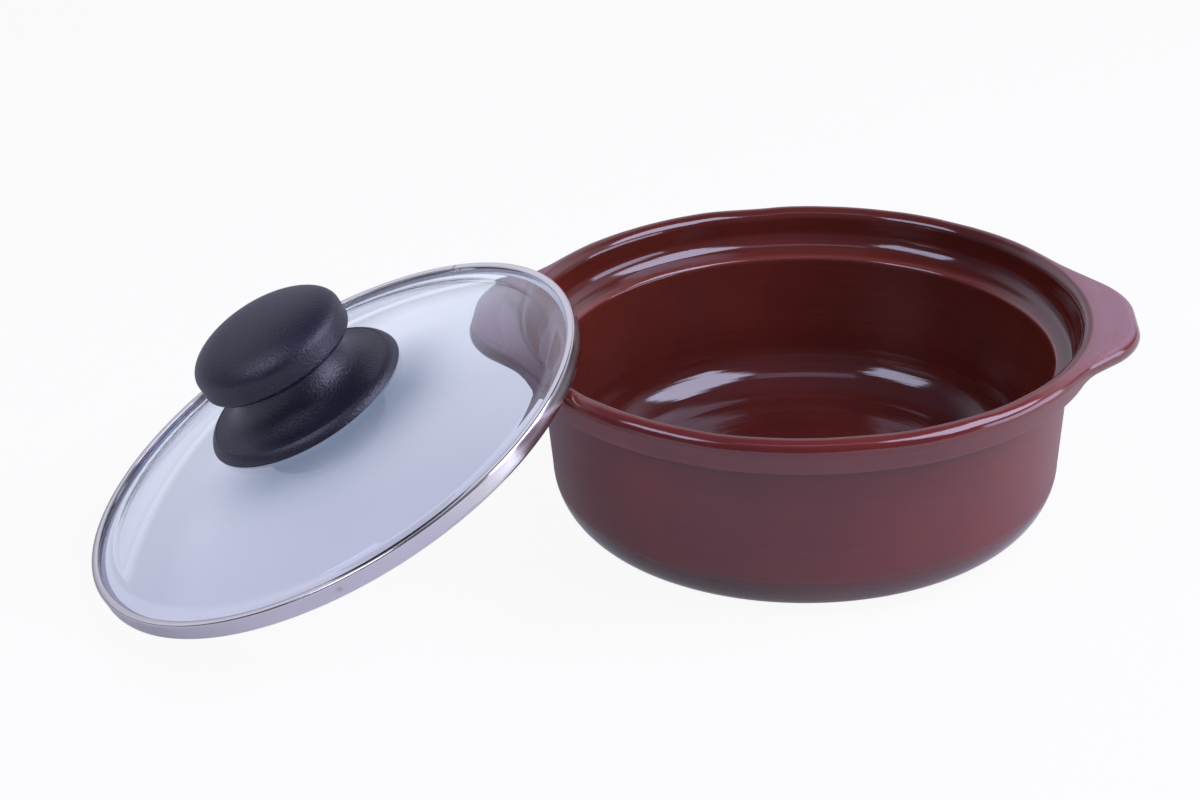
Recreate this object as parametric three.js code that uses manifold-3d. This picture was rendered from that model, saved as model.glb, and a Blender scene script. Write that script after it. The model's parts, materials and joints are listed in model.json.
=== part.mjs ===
// A clay saucepan with two ears and a domed glass lid. Millimetres, +Z up.
// The pot stands on z = 0 with its ears along X. The lid is taken off: its rim stands on the same
// surface at the left, and it leans on the pot's rim in front of the left ear.
import * as THREE from "three";
import { mergeVertices } from "three/addons/utils/BufferGeometryUtils.js";
import Module from "manifold-3d";

// Gap left between pieces that touch on the real object
const CLEARANCE = 0.3;

// Lid: glass with a rolled steel band round its edge
const LID_DIAMETER = 196;
const BAND_SHEET = 0.6;
const BAND_LIP = 2.7;
const BAND_ROUND = 0.7;
const BAND_HEM_GAP = 1.4;
const BAND_FOOT = 1.6;
const BAND_FOOT_RISE = 0.3;
const GLASS_THICKNESS = 3.6;
const GLASS_FLAT = 3.2;
const DOME_RISE = 20.8;
const DOME_FILLET = 20;

// Pot: the seat for the lid, the bowl below it, and the wall and collar outside
const POT_HEIGHT = 77;
const LID_PLAY = 0.4;
const RECESS_DEPTH = 15;
const RECESS_FILLET = 8.8;
const RECESS_TURN = THREE.MathUtils.degToRad(52);
const LIP_ROUND = 4;
const LIP_FLAT = 0.2;
const LEDGE_WIDTH = 4.2;
const LEDGE_FALL = 1.2;
const MOUTH_ROUND = 2;
const BOWL_TAPER = 4.4;
const BOWL_FILLET = 19;
const FLOOR_THICKNESS = 7.5;
const WALL_THICKNESS = 5.8;
const WALL_TAPER = 2.8;
const BASE_ROUND_WIDTH = 18;
const BASE_ROUND_HEIGHT = 21;
const COLLAR_HEIGHT = 13.4;
const COLLAR_TAPER = 3.2;
const COLLAR_HOLLOW = 1;
const COLLAR_ROUND = 1.5;
const COLLAR_FILLET = 6;
const LIP_UNDERCUT = THREE.MathUtils.degToRad(12);

// Ears: each is a flat tongue whose sides run out into the rim
const EAR_LENGTH = 13;
const EAR_TIP_WIDTH = 41;
const EAR_FLARE = THREE.MathUtils.degToRad(49);
const EAR_CORNER = 10;
const EAR_BLEND = 2.5;
const EAR_FALL = 0.8;
const EAR_THROAT = 2;
const EAR_UNDERCUT = THREE.MathUtils.degToRad(72);

// Knob: its heights are measured from the lower edge of its base
const KNOB_NECK_DIAMETER = 40;
const KNOB_NECK_HEIGHT = 15;
const KNOB_BASE_FLARE = 17.5;
const KNOB_BASE_EDGE = 3.6;
const KNOB_BASE_ROUND = 3.3;
const KNOB_BELL_OUT = 2;
const KNOB_BELL_UP = 1;
const KNOB_CAP_FLARE = 3.8;
const KNOB_CAP_OVERHANG = 8.7;
const KNOB_CAP_EDGE = 2.4;
const KNOB_CAP_SIDE = 7.2;
const KNOB_CROWN = 10.8;
const KNOB_WALL = 3.2;
const KNOB_WALL_DROP = 0.6;
const KNOB_RIBS = 4;
const KNOB_RIB_THICKNESS = 2;

// Fastening of the knob through the glass
const SCREW_DIAMETER = 4.6;
const SCREW_POINT = 1.1;
const SCREW_SETBACK = 3;
const SCREW_HEAD_LEDGE = 2.2;
const SCREW_HEAD_SIDE = 0.8;
const SCREW_HEAD_CROWN = 2;
const SCREW_CROSS_LENGTH = 5;
const SCREW_CROSS_WIDTH = 0.9;
const SCREW_CROSS_DEPTH = 1.4;
const INSERT_WALL = 1.4;
const INSERT_LENGTH = 12;
const INSERT_GROOVE = 0.6;
const BOSS_WALL = 4.7;
const SLEEVE_WALL = 1.1;
const GASKET_THICKNESS = 1;
const WASHER_SHEET = 0.8;
const WASHER_RIM = 1.1;

// How the lid leans: its axis tips away from the pot, and its middle lies in front of the ears
const LID_TILT = THREE.MathUtils.degToRad(25.7);
const LID_HEADING = THREE.MathUtils.degToRad(198.3);
const LID_FORWARD = 42.3;

// Facets, and the distances within which points are one or a search has ended
const POT_STEP = THREE.MathUtils.degToRad(5.5);
const EAR_STEP = THREE.MathUtils.degToRad(2.6);
const EAR_STEPS = 13;
const LID_SEGMENTS = 56;
const KNOB_SEGMENTS = 36;
const SMALL_SEGMENTS = 20;
const WELD_DISTANCE = 1e-4;
const SEARCH_END = 0.01;

const v2 = (r, z) => new THREE.Vector2(r, z);

// Points of an oval or a round corner about a centre, angles in degrees
function oval(r, z, radiusR, radiusZ, from, to, steps) {
  const start = THREE.MathUtils.degToRad(from);
  const end = THREE.MathUtils.degToRad(to);
  return new THREE.EllipseCurve(r, z, radiusR, radiusZ, start, end, end < start).getPoints(steps);
}

function arc(r, z, radius, from, to, steps) {
  return oval(r, z, radius, radius, from, to, steps);
}

// Points of a bend that leaves the first point and reaches the last one by way of the middle one
function bend(first, middle, last, steps) {
  return new THREE.QuadraticBezierCurve(first, middle, last).getPoints(steps);
}

// A solid of revolution about Z. A ring's outline is closed on itself.
function revolve(outline, segments) {
  return new THREE.LatheGeometry(outline, segments).rotateX(Math.PI / 2);
}

function revolveRing(outline, segments) {
  return revolve([...outline, outline[0].clone()], segments);
}

// Smooth versions of the smaller and the larger of two lengths, rounded over the given width
function roundedMin(a, b, width) {
  const h = Math.max(width - Math.abs(a - b), 0) / width;
  return Math.min(a, b) - (h * h * width) / 4;
}

function roundedMax(a, b, width) {
  return -roundedMin(-a, -b, width);
}

// Heights and radii that the pot's section shares
const lidRadius = LID_DIAMETER / 2;
const recessRadius = lidRadius + LID_PLAY;
const recessFillet = Math.min(RECESS_FILLET, (RECESS_DEPTH - LIP_ROUND) / Math.sin(RECESS_TURN));
const lipInner = recessRadius + recessFillet * (1 - Math.cos(RECESS_TURN));
const lipRadius = lipInner + 2 * LIP_ROUND + LIP_FLAT;
const earReach = lipRadius + EAR_LENGTH;
const ledgeHeight = POT_HEIGHT - RECESS_DEPTH;
const mouthRadius = recessRadius - LEDGE_WIDTH - MOUTH_ROUND;
const mouthTop = ledgeHeight - LEDGE_FALL;
const bowlFootRadius = mouthRadius - BOWL_TAPER;
const wallTopRadius = mouthRadius + WALL_THICKNESS;
const wallFootRadius = wallTopRadius - WALL_TAPER;
const collarBottom = POT_HEIGHT - COLLAR_HEIGHT;
const collarRadius = lipRadius - COLLAR_TAPER;

// Outer radius of the rim at an angle from the nearest ear's middle
const earSideNormal = Math.PI / 2 - EAR_FLARE;
const earSideDistance = v2(earReach, EAR_TIP_WIDTH / 2).dot(
  v2(Math.cos(earSideNormal), Math.sin(earSideNormal)),
);

function rimRadius(angle) {
  const across = Math.abs(Math.asin(Math.sin(angle)));
  const sideAngle = Math.max(earSideNormal - across, 0);
  const tip = earReach / Math.cos(Math.min(across, earSideNormal));
  const side = earSideDistance / Math.cos(sideAngle);
  const ear = roundedMin(tip, side, EAR_CORNER);
  return roundedMax(ear, lipRadius, EAR_BLEND);
}

// The bowl from the middle of its floor to the top of the lip. The seat's wall is hollowed at its
// foot, and meets the ledge in a corner.
const lipMiddle = POT_HEIGHT - LIP_ROUND;
const recessMiddle = ledgeHeight + recessFillet * Math.sin(RECESS_TURN);
const recessStart = 360 - THREE.MathUtils.radToDeg(RECESS_TURN);
const ledgeSlope = THREE.MathUtils.radToDeg(Math.atan2(LEDGE_FALL, LEDGE_WIDTH));
const insideOfPot = [
  v2(0, FLOOR_THICKNESS),
  ...arc(bowlFootRadius - BOWL_FILLET, FLOOR_THICKNESS + BOWL_FILLET, BOWL_FILLET, 270, 360, 4),
  ...arc(mouthRadius + MOUTH_ROUND, mouthTop - MOUTH_ROUND, MOUTH_ROUND, 180, 90 + ledgeSlope, 3),
  ...arc(lipInner - recessFillet, recessMiddle, recessFillet, recessStart, 360, 3),
  ...arc(lipInner + LIP_ROUND, lipMiddle, LIP_ROUND, 180, 90, 3),
];

// The pot's section from the middle of its floor, over the rim and down to the middle of its base.
// The rim reaches out to the given radius, which is larger at an ear.
function potSection(edge) {
  const ear = (edge - lipRadius) / EAR_LENGTH;
  const swell = 1 - (1 - ear) ** 2;
  const undercut = THREE.MathUtils.lerp(LIP_UNDERCUT, EAR_UNDERCUT, swell);
  const edgeMiddle = lipMiddle - EAR_FALL * ear;
  const lipEdge = arc(edge - LIP_ROUND, edgeMiddle, LIP_ROUND, 90, -THREE.MathUtils.radToDeg(undercut), 5);
  const hollow = v2(collarRadius + COLLAR_HOLLOW + EAR_THROAT * ear, edgeMiddle - LIP_ROUND);
  const collarEdge = arc(collarRadius - COLLAR_ROUND, collarBottom + COLLAR_ROUND, COLLAR_ROUND, 0, -90, 2);
  const underCollar = v2(wallTopRadius, collarBottom);
  const wallTop = v2(wallTopRadius, collarBottom - COLLAR_FILLET);
  const baseRadius = wallFootRadius - BASE_ROUND_WIDTH;
  return [
    ...insideOfPot,
    ...lipEdge,
    ...bend(lipEdge.at(-1), hollow, collarEdge[0], 3).slice(1),
    ...collarEdge.slice(1),
    ...bend(collarEdge.at(-1), underCollar, wallTop, 2).slice(1),
    ...oval(baseRadius, BASE_ROUND_HEIGHT, BASE_ROUND_WIDTH, BASE_ROUND_HEIGHT, 0, -90, 5),
    v2(0, 0),
  ];
}

// Angles round the pot, closer together on the ears
function potAngles() {
  const earHalf = EAR_STEP * EAR_STEPS;
  const angles = [];
  for (const middle of [0, Math.PI]) {
    for (let k = -EAR_STEPS; k < EAR_STEPS; k += 1) {
      angles.push(middle + k * EAR_STEP);
    }
    const between = Math.PI - 2 * earHalf;
    const count = Math.round(between / POT_STEP);
    for (let k = 0; k < count; k += 1) {
      angles.push(middle + earHalf + (k * between) / count);
    }
  }
  return angles;
}

// The pot is one fired piece, so its wall, rim and ears are one surface: its section is carried
// round the axis while the rim swells out into the ears
function potGeometry() {
  const sections = potAngles().map((angle) =>
    potSection(rimRadius(angle)).map((p) => [p.x * Math.cos(angle), p.x * Math.sin(angle), p.y]),
  );
  const rows = sections[0].length;
  const positions = sections.flat(2);
  const index = [];
  sections.forEach((section, i) => {
    const here = i * rows;
    const next = ((i + 1) % sections.length) * rows;
    for (let j = 0; j < rows - 1; j += 1) {
      if (j > 0) {
        index.push(here + j, next + j + 1, next + j);
      }
      if (j < rows - 2) {
        index.push(here + j, here + j + 1, next + j + 1);
      }
    }
  });
  const geometry = new THREE.BufferGeometry();
  geometry.setAttribute("position", new THREE.Float32BufferAttribute(positions, 3));
  geometry.setIndex(index);
  const merged = mergeVertices(geometry, WELD_DISTANCE);
  merged.computeVertexNormals();
  return merged;
}

// Heights in the lid that its pieces share, from the lower edge of its band
const hemRadius = BAND_SHEET + BAND_HEM_GAP / 2;
const footBottom = hemRadius + BAND_FOOT_RISE;
const footTop = footBottom + BAND_SHEET;
const glassRimBottom = footTop + CLEARANCE;
const glassRimTop = glassRimBottom + GLASS_THICKNESS;
const bandLipUnderside = glassRimTop + CLEARANCE;
const bandHeight = bandLipUnderside + BAND_SHEET;
const glassRadius = lidRadius - BAND_SHEET - CLEARANCE;
const flatRadius = glassRadius - GLASS_FLAT;
const domeReach = (flatRadius ** 2 + DOME_RISE ** 2) / (2 * DOME_RISE);
const domeRadius = domeReach - DOME_FILLET;
const domeCentre = glassRimTop + DOME_RISE - domeRadius;
const domeAngle = THREE.MathUtils.radToDeg(Math.asin(flatRadius / domeReach));

// Height of the glass's upper and lower faces over the dome's round part
const glassTop = (r) => domeCentre + Math.sqrt(domeRadius ** 2 - r ** 2);
const glassUnderside = (r) => domeCentre + Math.sqrt((domeRadius - GLASS_THICKNESS) ** 2 - r ** 2);

// Diameters of the fastening, worked outwards from the screw
const screwHole = SCREW_DIAMETER + 2 * CLEARANCE;
const glassHole = screwHole + 2 * SLEEVE_WALL + 2 * CLEARANCE;
const insertDiameter = screwHole + 2 * INSERT_WALL;
const bossDiameter = insertDiameter + 2 * CLEARANCE + 2 * BOSS_WALL;

function glassGeometry() {
  const hole = glassHole / 2;
  const inner = domeRadius - GLASS_THICKNESS;
  const outerFillet = DOME_FILLET + GLASS_THICKNESS;
  const holeTop = THREE.MathUtils.radToDeg(Math.acos(hole / domeRadius));
  const holeBottom = THREE.MathUtils.radToDeg(Math.acos(hole / inner));
  const edge = GLASS_THICKNESS / 2;
  const filletHeight = glassRimTop + DOME_FILLET;
  const filletStart = 270 - domeAngle;
  return revolveRing(
    [
      ...arc(0, domeCentre, inner, holeBottom, 90 - domeAngle, 5),
      ...arc(flatRadius, filletHeight, outerFillet, filletStart, 270, 2).slice(1),
      ...arc(glassRadius - edge, glassRimBottom + edge, edge, -90, 90, 3),
      ...arc(flatRadius, filletHeight, DOME_FILLET, 270, filletStart, 2),
      ...arc(0, domeCentre, domeRadius, 90 - domeAngle, holeTop, 5).slice(1),
    ],
    LID_SEGMENTS,
  );
}

// The band is one strip of sheet, rolled: a lip over the glass, the outer face, a hem turned up
// inside it at the bottom and a foot under the glass
const hemMiddle = lidRadius - hemRadius;
const footRadius = hemMiddle - hemRadius - BAND_FOOT;

function bandGeometry() {
  const lip = lidRadius - BAND_LIP;
  const hemInner = BAND_HEM_GAP / 2;
  return revolveRing(
    [
      v2(lip, bandLipUnderside),
      v2(lidRadius - BAND_SHEET, bandLipUnderside),
      ...arc(hemMiddle, hemRadius, hemInner, 360, 180, 3),
      v2(hemMiddle - hemInner, footTop),
      v2(footRadius, footTop),
      v2(footRadius, footBottom),
      v2(hemMiddle - hemRadius, footBottom),
      ...arc(hemMiddle, hemRadius, hemRadius, -180, 0, 5),
      ...arc(lidRadius - BAND_ROUND, bandHeight - BAND_ROUND, BAND_ROUND, 0, 90, 2),
      v2(lip, bandHeight),
    ],
    LID_SEGMENTS,
  );
}

// Heights of the knob's fastening, stacked on the middle of the glass
const gasketBottom = glassTop(0) + CLEARANCE;
const bossBottom = gasketBottom + GASKET_THICKNESS + CLEARANCE;
const insertTop = bossBottom + INSERT_LENGTH;
const grommetTop = glassUnderside(bossDiameter / 2) - CLEARANCE;
const grommetBottom = grommetTop - GASKET_THICKNESS;
const washerTop = grommetBottom - CLEARANCE;
const headTop = washerTop - WASHER_SHEET - CLEARANCE;

const wasm = await Module();
wasm.setup();

// A geometry as a manifold solid, and back
function solid(geometry) {
  const bare = geometry.clone();
  bare.deleteAttribute("normal");
  bare.deleteAttribute("uv");
  const merged = mergeVertices(bare, WELD_DISTANCE);
  return new wasm.Manifold(
    new wasm.Mesh({
      numProp: 3,
      vertProperties: merged.getAttribute("position").array,
      triVerts: new Uint32Array(merged.index.array),
    }),
  );
}

function geometryOf(manifold) {
  const mesh = manifold.getMesh();
  const geometry = new THREE.BufferGeometry();
  geometry.setAttribute("position", new THREE.BufferAttribute(mesh.vertProperties, 3));
  geometry.setIndex(new THREE.BufferAttribute(mesh.triVerts, 1));
  geometry.computeVertexNormals();
  return geometry;
}

// Knob: a bell-shaped base, a waist and a crowned cap in one moulding. The base is hollow, with a
// boss for the threaded insert and ribs that tie the boss to the wall.
const knobNeck = KNOB_NECK_DIAMETER / 2;
const knobBase = knobNeck + KNOB_BASE_FLARE;
const knobSeat = glassTop(knobBase) + CLEARANCE;
const knobEdgeTop = knobSeat + KNOB_BASE_EDGE;

function bellOutline(inset) {
  const edge = v2(knobBase - KNOB_BASE_ROUND - inset, knobEdgeTop - inset * KNOB_WALL_DROP);
  const waist = v2(knobNeck - inset + KNOB_BELL_OUT, edge.y + KNOB_BELL_UP);
  const neckBottom = v2(knobNeck - inset, knobSeat + KNOB_NECK_HEIGHT - inset);
  return bend(edge, waist, neckBottom, 5);
}

function knobGeometry() {
  const cap = knobNeck + KNOB_CAP_OVERHANG;
  const boss = bossDiameter / 2;
  const bore = insertDiameter / 2 + CLEARANCE;
  const boreTop = insertTop + CLEARANCE;
  const rimInner = knobBase - KNOB_WALL;
  const neckTop = v2(knobNeck, knobSeat + KNOB_NECK_HEIGHT);
  const capBottom = neckTop.y + KNOB_CAP_FLARE;
  const capEdge = arc(cap - KNOB_CAP_EDGE, capBottom + KNOB_CAP_EDGE, KNOB_CAP_EDGE, -90, 0, 3);
  const sideTop = capBottom + KNOB_CAP_SIDE;
  const hollow = bellOutline(KNOB_WALL);
  const body = revolve(
    [
      v2(0, boreTop),
      v2(bore, boreTop),
      v2(bore, bossBottom),
      v2(boss, bossBottom),
      v2(boss, hollow.at(-1).y),
      ...hollow.reverse(),
      v2(rimInner, glassTop(rimInner) + CLEARANCE),
      ...oval(knobBase - KNOB_BASE_ROUND, knobSeat, KNOB_BASE_ROUND, KNOB_BASE_EDGE, 0, 90, 4),
      ...bellOutline(0).slice(1),
      ...bend(neckTop, v2(knobNeck, capBottom), capEdge[0], 4).slice(1),
      ...capEdge.slice(1),
      ...oval(0, sideTop, cap, KNOB_CROWN, 0, 90, 7).slice(0, -1),
      v2(0, sideTop + KNOB_CROWN),
    ],
    KNOB_SEGMENTS,
  );
  const wallMiddle = bellOutline(KNOB_WALL / 2);
  const ribTop = wallMiddle.at(-1).y;
  const bell = solid(revolve([v2(0, wallMiddle[0].y), ...wallMiddle, v2(0, ribTop)], KNOB_SEGMENTS));
  const ribLength = knobBase - boss;
  const ribHeight = ribTop - bossBottom;
  const rib = new THREE.BoxGeometry(ribLength, KNOB_RIB_THICKNESS, ribHeight);
  rib.translate(boss - KNOB_RIB_THICKNESS + ribLength / 2, 0, bossBottom + ribHeight / 2);
  let knob = solid(body);
  for (let k = 0; k < KNOB_RIBS; k += 1) {
    const turned = solid(rib.clone().rotateZ((k * 2 * Math.PI) / KNOB_RIBS));
    knob = knob.add(turned.intersect(bell));
  }
  return geometryOf(knob);
}

function insertGeometry() {
  const outer = insertDiameter / 2;
  const inner = screwHole / 2;
  const third = INSERT_LENGTH / 3;
  return revolveRing(
    [
      v2(inner, bossBottom),
      v2(outer, bossBottom),
      v2(outer, bossBottom + third),
      v2(outer - INSERT_GROOVE, bossBottom + third),
      v2(outer - INSERT_GROOVE, insertTop - third),
      v2(outer, insertTop - third),
      v2(outer, insertTop),
      v2(inner, insertTop),
    ],
    SMALL_SEGMENTS,
  );
}

function gasketGeometry() {
  const inner = screwHole / 2;
  const outer = bossDiameter / 2;
  const top = gasketBottom + GASKET_THICKNESS;
  return revolveRing(
    [v2(inner, gasketBottom), v2(outer, gasketBottom), v2(outer, top), v2(inner, top)],
    SMALL_SEGMENTS,
  );
}

// The lower gasket has a sleeve that keeps the screw off the glass
function grommetGeometry() {
  const inner = screwHole / 2;
  const sleeve = glassHole / 2 - CLEARANCE;
  const outer = bossDiameter / 2;
  const sleeveTop = glassTop(0) - CLEARANCE;
  return revolveRing(
    [
      v2(inner, grommetBottom),
      v2(outer, grommetBottom),
      v2(outer, grommetTop),
      v2(sleeve, grommetTop),
      v2(sleeve, sleeveTop),
      v2(inner, sleeveTop),
    ],
    SMALL_SEGMENTS,
  );
}

// A dished washer that holds the lower gasket in its rim
function washerGeometry() {
  const inner = screwHole / 2;
  const pocket = bossDiameter / 2 + CLEARANCE;
  const outer = pocket + WASHER_SHEET;
  const bottom = washerTop - WASHER_SHEET;
  return revolveRing(
    [
      v2(inner, bottom),
      ...arc(pocket, washerTop, WASHER_SHEET, -90, 0, 3),
      v2(outer, washerTop + WASHER_RIM),
      v2(pocket, washerTop + WASHER_RIM),
      v2(pocket, washerTop),
      v2(inner, washerTop),
    ],
    SMALL_SEGMENTS,
  );
}

// A pan-head screw with a cross recess
function screwGeometry() {
  const shank = SCREW_DIAMETER / 2;
  const head = shank + SCREW_HEAD_LEDGE;
  const crownTop = headTop - SCREW_HEAD_SIDE;
  const headBottom = crownTop - SCREW_HEAD_CROWN;
  const tip = insertTop - SCREW_SETBACK;
  const body = revolve(
    [
      v2(0, headBottom),
      ...oval(0, crownTop, head, SCREW_HEAD_CROWN, -90, 0, 4).slice(1),
      v2(head, headTop),
      v2(shank, headTop),
      v2(shank, tip - SCREW_POINT),
      v2(shank - SCREW_POINT, tip),
      v2(0, tip),
    ],
    SMALL_SEGMENTS,
  );
  const bar = new THREE.BoxGeometry(SCREW_CROSS_LENGTH, SCREW_CROSS_WIDTH, 2 * SCREW_CROSS_DEPTH);
  bar.translate(0, 0, headBottom);
  const cross = solid(bar).add(solid(bar.clone().rotateZ(Math.PI / 2)));
  return geometryOf(solid(body).subtract(cross));
}

// Lowest surface of the lid at the given radius from its axis
function lidUnderside(r) {
  if (r > footRadius) {
    return 0;
  }
  return Math.max(glassUnderside(Math.min(r, flatRadius)), glassRimBottom);
}

// Place of the lid: its band's lowest point stands on the table, and it is pushed towards the pot
// until its underside meets the rim or an ear
const lidAxis = new THREE.Vector3(
  Math.sin(LID_TILT) * Math.cos(LID_HEADING),
  Math.sin(LID_TILT) * Math.sin(LID_HEADING),
  Math.cos(LID_TILT),
);
const lidTurn = new THREE.Quaternion().setFromUnitVectors(new THREE.Vector3(0, 0, 1), lidAxis);

function lidPlace() {
  const height = CLEARANCE + hemRadius + hemMiddle * Math.sin(LID_TILT) - hemRadius * Math.cos(LID_TILT);
  const back = lidTurn.clone().invert();
  const rim = [];
  for (let angle = Math.PI / 2; angle < 1.5 * Math.PI; angle += EAR_STEP / 4) {
    for (const p of potSection(rimRadius(angle))) {
      rim.push(new THREE.Vector3(p.x * Math.cos(angle), p.x * Math.sin(angle), p.y));
    }
  }
  const clear = (origin) =>
    rim.every((point) => {
      const local = point.clone().sub(origin).applyQuaternion(back);
      const r = Math.hypot(local.x, local.y);
      return r > lidRadius + CLEARANCE || local.z < lidUnderside(r) - CLEARANCE;
    });
  const far = new THREE.Vector3(-earReach - LID_DIAMETER, -LID_FORWARD, height);
  const near = new THREE.Vector3(0, -LID_FORWARD, height);
  while (near.x - far.x > SEARCH_END) {
    const middle = far.clone().lerp(near, 0.5);
    (clear(middle) ? far : near).copy(middle);
  }
  return far;
}

function piece(name, geometry, color, roughness, metalness, extra = {}) {
  const material = new THREE.MeshStandardMaterial({ color, roughness, metalness, ...extra });
  const mesh = new THREE.Mesh(geometry, material);
  mesh.name = name;
  return mesh;
}

const saucepan = new THREE.Group();
saucepan.add(piece("pot_body", potGeometry(), 0x562a28, 0.25, 0));

const lid = new THREE.Group();
lid.quaternion.copy(lidTurn);
lid.position.copy(lidPlace());
lid.add(
  piece("lid_glass", glassGeometry(), 0xdfe8f4, 0.05, 0, { transparent: true, opacity: 0.3 }),
  piece("lid_band", bandGeometry(), 0xb4b0ba, 0.22, 1),
  piece("knob", knobGeometry(), 0x2b2a31, 0.5, 0),
  piece("knob_insert", insertGeometry(), 0xb5904a, 0.35, 1),
  piece("knob_gasket", gasketGeometry(), 0x3a3a3c, 0.8, 0),
  piece("glass_grommet", grommetGeometry(), 0x3a3a3c, 0.8, 0),
  piece("cup_washer", washerGeometry(), 0xb4b4b8, 0.3, 1),
  piece("knob_screw", screwGeometry(), 0xa8a8ac, 0.3, 1),
);
saucepan.add(lid);

export default saucepan;
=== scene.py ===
# %% [markdown]
# # A clay saucepan with its glass lid taken off
# The pot is one fired piece of brown glazed clay with two ears. Its lid is a glass dome in a rolled
# steel band, with a black knob screwed through the middle. The imported part gives every place and
# joint, so this lesson starts by loading it.

# %% Load the imported part
import json
import math

import bpy
from mathutils import Matrix, Vector


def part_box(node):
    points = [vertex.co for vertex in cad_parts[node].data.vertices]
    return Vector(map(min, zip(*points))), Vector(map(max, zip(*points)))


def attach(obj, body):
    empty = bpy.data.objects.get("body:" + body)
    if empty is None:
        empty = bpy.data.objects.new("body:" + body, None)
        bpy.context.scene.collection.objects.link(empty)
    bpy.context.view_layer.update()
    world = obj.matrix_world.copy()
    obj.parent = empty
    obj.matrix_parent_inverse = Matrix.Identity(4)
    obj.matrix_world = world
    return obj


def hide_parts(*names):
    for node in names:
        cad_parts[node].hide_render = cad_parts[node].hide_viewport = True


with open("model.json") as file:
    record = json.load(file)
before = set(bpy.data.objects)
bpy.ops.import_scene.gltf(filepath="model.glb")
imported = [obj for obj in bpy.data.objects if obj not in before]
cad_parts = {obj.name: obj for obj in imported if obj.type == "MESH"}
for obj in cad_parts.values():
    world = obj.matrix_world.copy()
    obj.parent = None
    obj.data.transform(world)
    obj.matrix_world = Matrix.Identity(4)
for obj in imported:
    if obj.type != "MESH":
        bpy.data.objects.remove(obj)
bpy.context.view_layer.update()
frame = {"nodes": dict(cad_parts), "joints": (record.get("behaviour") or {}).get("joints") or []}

MM = 0.001
print("solids:", sorted(frame["nodes"]))

# %% [markdown]
# ## One way to write nodes
# Geometry Nodes and shaders are both node trees, and both are long to write socket by socket. Here
# one small class stands for a socket, so that sums are written as sums, and another adds any node
# from its type, its settings and its sockets.


# %% A socket that can be added, multiplied and compared
class Wire:
    """An output socket. Sums on it add Math nodes to its tree."""

    def __init__(self, sketch, socket):
        self.sketch = sketch
        self.socket = socket

    def math(self, operation, *others):
        return self.sketch.add("ShaderNodeMath", {"operation": operation}, dict(enumerate((self, *others))))

    def flipped(self, operation, first):
        return self.sketch.add("ShaderNodeMath", {"operation": operation}, {0: first, 1: self})

    def __add__(self, other):
        return self.math("ADD", other)

    __radd__ = __add__

    def __mul__(self, other):
        return self.math("MULTIPLY", other)

    __rmul__ = __mul__

    def __sub__(self, other):
        return self.math("SUBTRACT", other)

    def __rsub__(self, first):
        return self.flipped("SUBTRACT", first)

    def __truediv__(self, other):
        return self.math("DIVIDE", other)

    def __rtruediv__(self, first):
        return self.flipped("DIVIDE", first)

    def __pow__(self, power):
        return self.math("POWER", power)

    def __abs__(self):
        return self.math("ABSOLUTE")

    def least(self, other):
        return self.math("MINIMUM", other)

    def most(self, other):
        return self.math("MAXIMUM", other)

    def clamped(self):
        return self.least(1.0).most(0.0)

    def ramp(self, start, end):
        """0 up to the start, 1 from the end on, and even between them. The end may be the lower one."""
        return ((self - start) / (end - start)).clamped()

    def other(self, name):
        """Another output of the same node."""
        return Wire(self.sketch, self.socket.node.outputs[name])


# %% A tree that is written one node at a time
class Sketch:
    """A node tree, and the one method that adds nodes to it."""

    def __init__(self, tree):
        self.tree = tree
        tree.nodes.clear()

    def add(self, kind, settings=None, sockets=None, output=None):
        node = self.tree.nodes.new(kind)
        for name, value in (settings or {}).items():
            setattr(node, name, value)
        for key, value in (sockets or {}).items():
            named = (s for s in node.inputs if s.enabled and s.name == key)
            socket = node.inputs[key] if isinstance(key, int) else next(named)
            if isinstance(value, Wire):
                self.tree.links.new(value.socket, socket)
            else:
                socket.default_value = value
        outputs = [s for s in node.outputs if s.enabled]
        if not outputs:
            return node
        chosen = outputs[0] if output is None else next(s for s in outputs if s.name == output)
        return Wire(self, chosen)

    def vector(self, x, y, z):
        return self.add("ShaderNodeCombineXYZ", None, {"X": x, "Y": y, "Z": z})

    def parts(self, vector):
        first = self.add("ShaderNodeSeparateXYZ", None, {"Vector": vector}, "X")
        return first, first.other("Y"), first.other("Z")

    def blend(self, factor, first, second):
        """A mix of two colours."""
        sockets = {"Factor": factor, "A": first, "B": second}
        return self.add("ShaderNodeMix", {"data_type": "RGBA"}, sockets, "Result")


print("Wire and Sketch are ready")

# %% [markdown]
# ## Where the lid stands
# The lid lies off the pot and leans on its rim. Its joint holds the middle of its lower edge and its
# axis, so one matrix carries everything on the lid from upright to where it leans.

# %% The lid's matrix
lift = next(joint for joint in frame["joints"] if joint["name"] == "lid_lift")
lid_axis = Vector(lift["axis"]).normalized()
lid_turn = Vector((0, 0, 1)).rotation_difference(lid_axis)
lid_matrix = Matrix.Translation(lift["pos_m"]) @ lid_turn.to_matrix().to_4x4()
print("lid leans by", round(math.degrees(lid_axis.angle((0, 0, 1))), 1), "degrees")

# %% [markdown]
# ## Outlines
# Turned pieces are drawn as half a section: distance from the axis and height, in millimetres. Straight
# runs need only their ends, and round corners are short arcs. An outline runs against the clock, from
# the bottom outwards and up, because the spun faces then point outwards.


# %% Arcs and bends of an outline
def oval(r, z, radius_r, radius_z, start, end, steps):
    angles = [math.radians(start + (end - start) * k / steps) for k in range(steps + 1)]
    return [(r + radius_r * math.cos(a), z + radius_z * math.sin(a)) for a in angles]


def arc(r, z, radius, start, end, steps=8):
    return oval(r, z, radius, radius, start, end, steps)


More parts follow.
